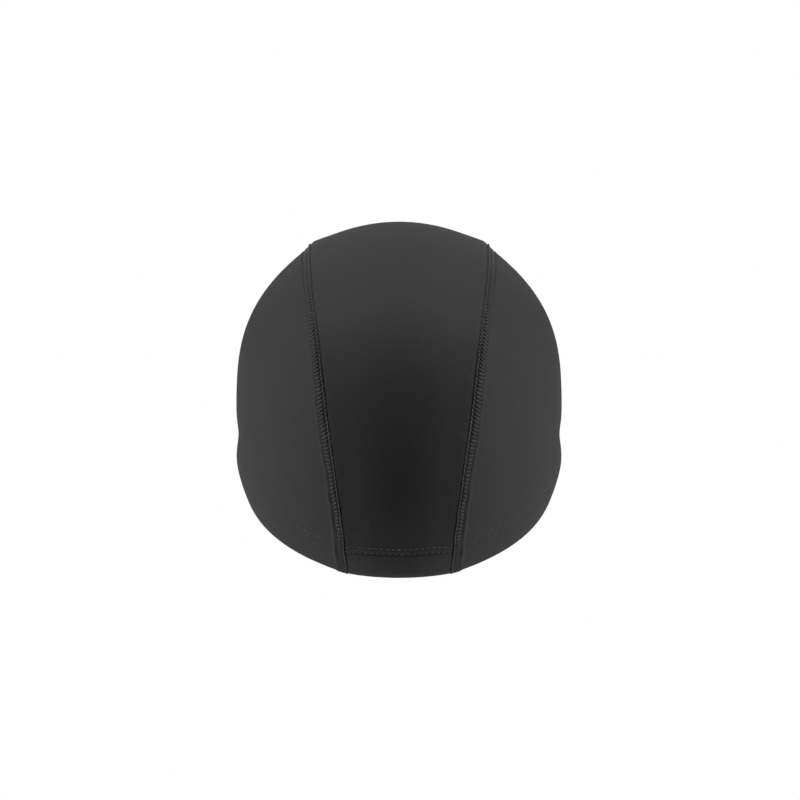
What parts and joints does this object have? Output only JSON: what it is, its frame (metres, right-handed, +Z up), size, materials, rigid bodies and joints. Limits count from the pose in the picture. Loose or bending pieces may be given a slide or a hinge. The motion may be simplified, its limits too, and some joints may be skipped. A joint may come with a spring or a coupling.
{
  "type": "swim cap",
  "caption": "Close-fitting swim cap of three stretch-cloth panels joined by flat raised seams, with a turned-up hem and an open hollow for the head.",
  "frame": {"origin": "inside top of the crown, midway between the two seams, where a head holds the cap up", "axes": "+X towards the wearer's right, +Y towards the wearer's forward, +Z up"},
  "size_m": [0.1582, 0.1945, 0.1654],
  "materials": {
    "panel_cloth": "smooth charcoal stretch tricot with a soft sheen",
    "seam_band": "raised flat-locked seam of charcoal thread"
  },
  "bodies": {
    "root": {"centre_panel": "panel_cloth", "left_side_panel": "panel_cloth", "right_side_panel": "panel_cloth", "left_seam": "seam_band", "right_seam": "seam_band"}
  },
  "joints": []
}
